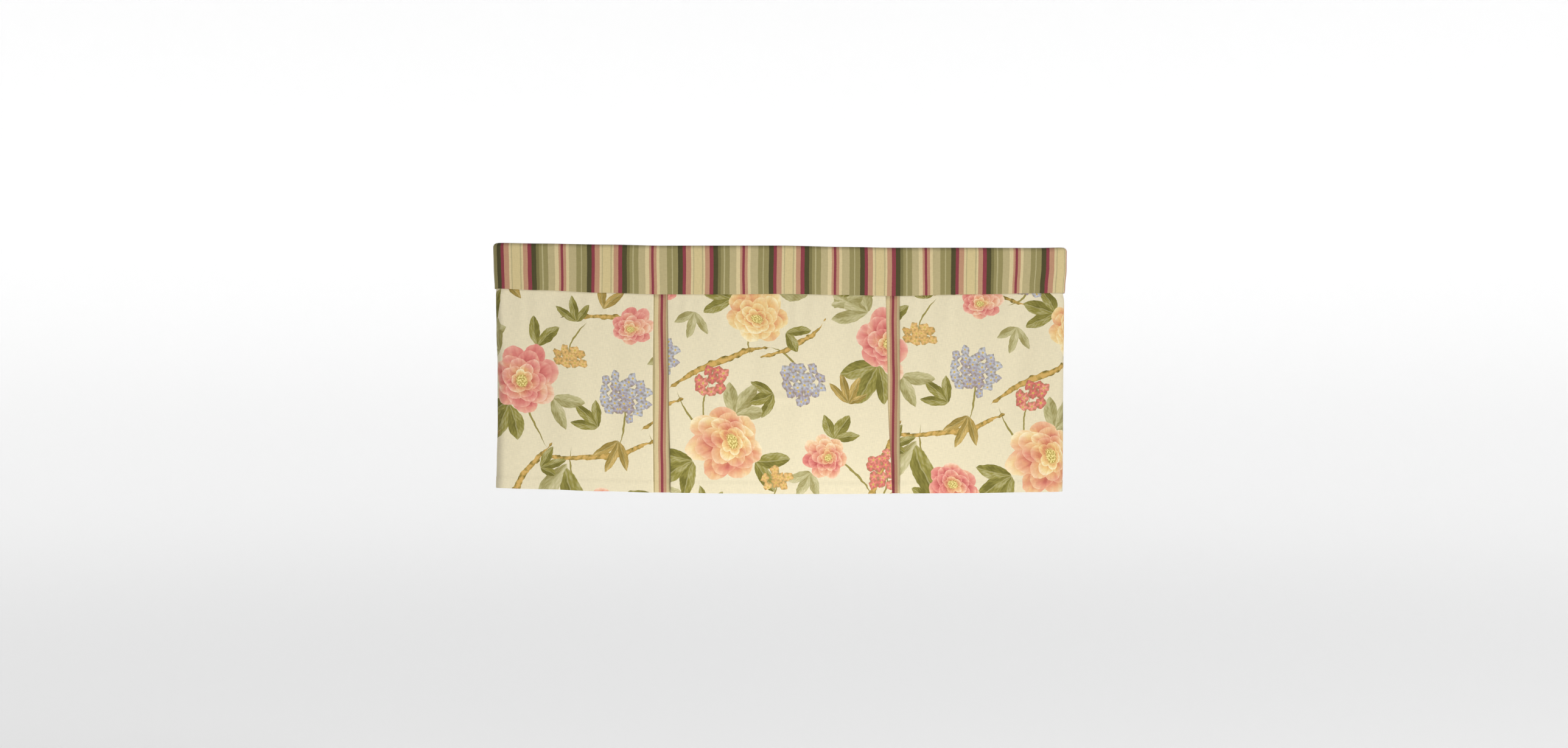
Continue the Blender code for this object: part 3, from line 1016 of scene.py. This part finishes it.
def florets(paint, cloth, ground):
    """Lay the clusters of five-petalled florets on the ground."""
    sockets = {"Vector": cloth, "Scale": 1 / FLORET_PITCH, "Randomness": 0.7}
    cells = paint.node("ShaderNodeTexVoronoi", {"voronoi_dimensions": "2D"}, sockets, "Position")
    chance = Value(paint, cells.socket.node.outputs["Color"])
    nearest = 1.0
    kind = 0.0
    for cluster in CLUSTERS:
        here = seen_from(paint, cells, cluster.x, cluster.y, 0.0, cluster.size)
        reach = paint.length(here)
        better = reach < nearest
        kind = paint.mix_value(better, kind, cluster.tint)
        nearest = paint.math("MINIMUM", reach, nearest)
    x, y, _ = paint.split(paint.vector("SUBTRACT", cloth, cells))
    red, green, blue = paint.split(chance)
    radius = paint.length(paint.join(x, y)) / FLORET_SIZE
    angle = paint.math("ARCTAN2", y, x) * FLORET_PETALS + red * FLORET_SPIN
    petals = paint.math("COSINE", angle) * PETAL_WAVE + PETAL_MIDDLE
    within = nearest < CLUSTER_EDGE
    inside = paint.fade(radius - petals, 0.08, -0.04) * within
    tone = paint.clamped(radius * 0.55 + green * 0.35 + (1 - petals) * 0.5)
    lilac = paint.ramp(tone, LILAC_TONES)
    salmon = paint.ramp(tone, SALMON_TONES)
    amber = paint.ramp(tone, AMBER_TONES)
    colour = paint.mix(paint.fade(kind, 0.4, 0.6), lilac, salmon)
    colour = paint.mix(paint.fade(kind, 1.4, 1.6), colour, amber)
    eye = paint.fade(radius, 0.24, 0.14)
    colour = paint.mix(eye, colour, EYE)
    dark = paint.mix(0.60, colour, DEEP_LEAF)
    light = paint.mix(0.50, colour, SAGE)
    shade = paint.mix(paint.noise(cloth, 120.0), dark, light)
    body = paint.fade(radius, 0.92, 0.80) * within
    return paint.mix(inside, paint.mix(body, ground, shade), colour)


# %% [markdown]
# ## Roses
#
# An open rose is rings of petals, each lying on the ring outside it. In a ring, the angle times the
# number of petals runs from 0 to 1 across each petal, and a parabola of that scallops the rim. The
# innermost ring that holds a point wins it. A petal is light at its rim and deep where the next ring
# shades it, and the heart is a tuft of yellow stamens.

# %% Roses
Ring = namedtuple("Ring", "radius petals phase scallop")
RINGS = (
    Ring(1.00, 7, 0.10, 0.20),
    Ring(0.83, 6, 0.55, 0.20),
    Ring(0.66, 6, 0.95, 0.22),
    Ring(0.50, 5, 0.30, 0.22),
    Ring(0.35, 5, 0.75, 0.24),
)
HEART = 0.24
TILT = 0.22
PINK_TONES = (
    (0.00, srgb(184, 88, 84)), (0.35, srgb(212, 124, 114)),
    (0.70, srgb(226, 160, 142)), (1.00, srgb(238, 202, 180)),
)
PEACH_TONES = (
    (0.00, srgb(210, 140, 96)), (0.35, srgb(226, 182, 118)),
    (0.70, srgb(232, 206, 148)), (1.00, srgb(240, 226, 186)),
)
STAMEN_TONES = ((0.38, srgb(172, 148, 70)), (0.62, srgb(236, 218, 144)))


def roses(paint, cloth, ground):
    """Lay the roses on the ground."""
    best = 1.0
    winner = (2.0, 0.0, 0.0)
    for rose in ROSES:
        here = seen_from(paint, cloth, rose.x, rose.y, math.radians(rose.turn), rose.size, 1.0, rose.tint)
        reach = paint.length(here, (0.0, 0.0, rose.tint))
        better = reach < best
        winner = paint.mix_vector(better, winner, here)
        best = paint.math("MINIMUM", reach, best)
    x, y, tint = paint.split(winner)
    x = x + (1 - paint.length(paint.join(x, y))) * TILT
    radius = paint.length(paint.join(x, y))
    turns = paint.math("ARCTAN2", y, x) / (2 * math.pi) + 0.5
    flower = 0.0
    share = 0.0
    petal = 0.0
    for number, ring in enumerate(RINGS):
        across = turns * ring.petals + ring.phase
        lobe = paint.math("FRACT", across)
        rim = (1 - ring.scallop + lobe * (1 - lobe) * 4 * ring.scallop) * ring.radius
        held = radius < rim
        flower = paint.math("MAXIMUM", flower, held)
        depth = radius / rim - abs(lobe - 0.5) * 0.10
        share = paint.mix_value(held, share, depth)
        name = across - lobe + number * 7.3
        petal = paint.mix_value(held, petal, name)
    chance = paint.node("ShaderNodeTexWhiteNoise", {"noise_dimensions": "1D"}, {"W": petal})
    streaks = paint.noise(paint.join(turns * 40, radius * 2.6 + petal), 1.0, 2.0)
    wash = paint.noise(cloth, 24.0, 2.0)
    tone = paint.clamped((share - 0.64) * 1.9 + chance * 0.26 + streaks * 0.55 + wash * 0.7 - 0.62)
    warm_middle = paint.fade(radius, 0.50, 0.22) * 0.55
    warmth = paint.clamped(tint + (wash - 0.5) * 1.5 + warm_middle + chance * 0.2 - 0.1)
    colour = paint.mix(warmth, paint.ramp(tone, PINK_TONES), paint.ramp(tone, PEACH_TONES))
    stamens = paint.ramp(paint.noise(winner, 22.0), STAMEN_TONES)
    colour = paint.mix(paint.fade(radius, HEART, HEART * 0.6), colour, stamens)
    return paint.mix(flower, ground, colour)


# %% [markdown]
# ## The whole print
#
# A hand-painted look comes from bending the cloth's coordinates with noise before anything is
# drawn: a slow wave bends stems and leaves, and a quick small one ruffles every edge.

# %% The flowered cotton
GROUND = srgb(225, 214, 182)
SLOW_SCALE = 11.0
SLOW_BEND = 0.016
QUICK_SCALE = 85.0
QUICK_BEND = 0.0034


def pushes(paint, cloth, scale, detail, bend):
    """Noise as a push of up to half the bend to either side."""
    push = paint.noise(cloth, scale, detail, "Color")
    return paint.vector("MULTIPLY_ADD", push, (bend, bend, 0.0), (-bend / 2, -bend / 2, 0.0))


def flowered_cloth(name):
    """The flowered cotton."""
    paint = Paint(name)
    cloth = paint.cut()
    slow = pushes(paint, cloth, SLOW_SCALE, 0.0, SLOW_BEND)
    quick = pushes(paint, cloth, QUICK_SCALE, 1.0, QUICK_BEND)
    drawn = paint.vector("ADD", paint.vector("ADD", cloth, slow), quick)
    colour = branches(paint, drawn, GROUND)
    colour = leaves(paint, drawn, colour)
    colour = florets(paint, drawn, colour)
    colour = roses(paint, drawn, colour)
    finish_cloth(paint, cloth, colour, GROUND)
    return paint.material


# %% [markdown]
# ## Dressing the pieces
#
# The panels take the flowered cotton, and the inserts and the heading take the striped one.

# %% Dress every piece
stripes = striped_cloth("striped cotton")
flowers = flowered_cloth("flowered cotton")
for cloth in flowered:
    cloth.data.materials.clear()
    cloth.data.materials.append(flowers)
for cloth in (*inserts, heading):
    cloth.data.materials.clear()
    cloth.data.materials.append(stripes)

# %% [markdown]
# ## A white studio
#
# The valance hangs in a round tub of white paper: a flat floor that bends up into a wall all round,
# so that no corner shows behind it from any side. The tub is wide, which keeps the soft shadow of
# the valance out of the picture, and it glows a little, as paper lit from behind does, and so stays
# whiter than most cloth. It is a ball that is squared off with powers and cut open at its rim, and
# its wall is just high enough that the rim stays out of the picture.

# %% Floor and backdrop
FLOOR_HEIGHT = -1.30
TUB_RADIUS = 11.0
TUB_DEPTH = 4.3
SQUARENESS = 0.30
TUB_FACETS = 96
RIM_CUT = 0.001
PAPER_GLOW = 0.40
PAPER_ROUGHNESS = 0.90
PAPER_WHITE = (0.93, 0.93, 0.93, 1.0)

bpy.ops.mesh.primitive_uv_sphere_add(segments=TUB_FACETS, ring_count=TUB_FACETS, radius=1.0)
floor = bpy.context.object
floor.name = "floor"
bpy.ops.object.mode_set(mode="EDIT")
bpy.ops.mesh.select_all(action="SELECT")
bpy.ops.mesh.bisect(plane_co=(0.0, 0.0, -RIM_CUT), plane_no=(0.0, 0.0, 1.0), clear_outer=True)
bpy.ops.object.mode_set(mode="OBJECT")
for vertex in floor.data.vertices:
    x, y, z = vertex.co
    spread = max(math.hypot(x, y), 1e-6)
    wide = TUB_RADIUS * spread ** SQUARENESS / spread
    deep = TUB_DEPTH * abs(z) ** SQUARENESS
    vertex.co = (x * wide, y * wide, FLOOR_HEIGHT + TUB_DEPTH - deep)
bpy.ops.object.shade_smooth()
paper = Paint("white paper")
paper.shader.inputs["Base Color"].default_value = PAPER_WHITE
paper.shader.inputs["Roughness"].default_value = PAPER_ROUGHNESS
paper.shader.inputs["Emission Color"].default_value = (1.0, 1.0, 1.0, 1.0)
paper.shader.inputs["Emission Strength"].default_value = PAPER_GLOW
floor.data.materials.append(paper.material)
print("the paper tub is", 2 * TUB_RADIUS, "m wide")

# %% [markdown]
# ## Light
#
# Much of the light is even and comes back from the paper all round. A large softbox far off to the
# right and above rakes the cloth enough to show its folds and to draw the shadows in the pleats and
# under the heading. A weak one below lifts the lower middle, as daylight through a window would.

# %% Softboxes and the sky
SKY_STRENGTH = 0.24
Softbox = namedtuple("Softbox", "name place aim size watts")
SOFTBOXES = (
    Softbox("key from the right", (6.4, -5.0, 3.4), (0.0, 0.0, -0.24), 2.2, 240.0),
    Softbox("lift from below", (0.08, -0.75, -0.98), (0.04, 0.0, -0.44), 0.4, 5.0),
)

world = bpy.data.worlds.new("studio")
bpy.context.scene.world = world
world.use_nodes = True
world.node_tree.nodes["Background"].inputs["Color"].default_value = (1.0, 1.0, 1.0, 1.0)
world.node_tree.nodes["Background"].inputs["Strength"].default_value = SKY_STRENGTH
for box in SOFTBOXES:
    towards = Vector(box.aim) - Vector(box.place)
    turned = towards.to_track_quat("-Z", "Y").to_euler()
    bpy.ops.object.light_add(type="AREA", location=box.place, rotation=turned)
    lamp = bpy.context.object
    lamp.name = box.name
    lamp.data.size = box.size
    lamp.data.energy = box.watts
    print(box.name, "is", round(towards.length, 2), "m away")

# %% [markdown]
# ## Camera
#
# The camera looks straight at the front from a few metres away, level with the middle of the drop.
# The lens follows from the width that the picture takes in at the valance. Colours are shown plainly,
# with no film look.

# %% Camera
CAMERA_DISTANCE = 4.0
PICTURE_WIDTH = 2.924
SENSOR = 36.0
CAMERA_SIDE = 0.0074
CAMERA_HEIGHT = -0.2395
camera_place = (CAMERA_SIDE, -CAMERA_DISTANCE, CAMERA_HEIGHT)
bpy.ops.object.camera_add(location=camera_place, rotation=(math.pi / 2, 0.0, 0.0))
camera = bpy.context.object
camera.data.sensor_width = SENSOR
camera.data.lens = SENSOR * CAMERA_DISTANCE / PICTURE_WIDTH
bpy.context.scene.camera = camera
bpy.context.scene.view_settings.view_transform = "Standard"
print("lens:", round(camera.data.lens, 1), "mm")
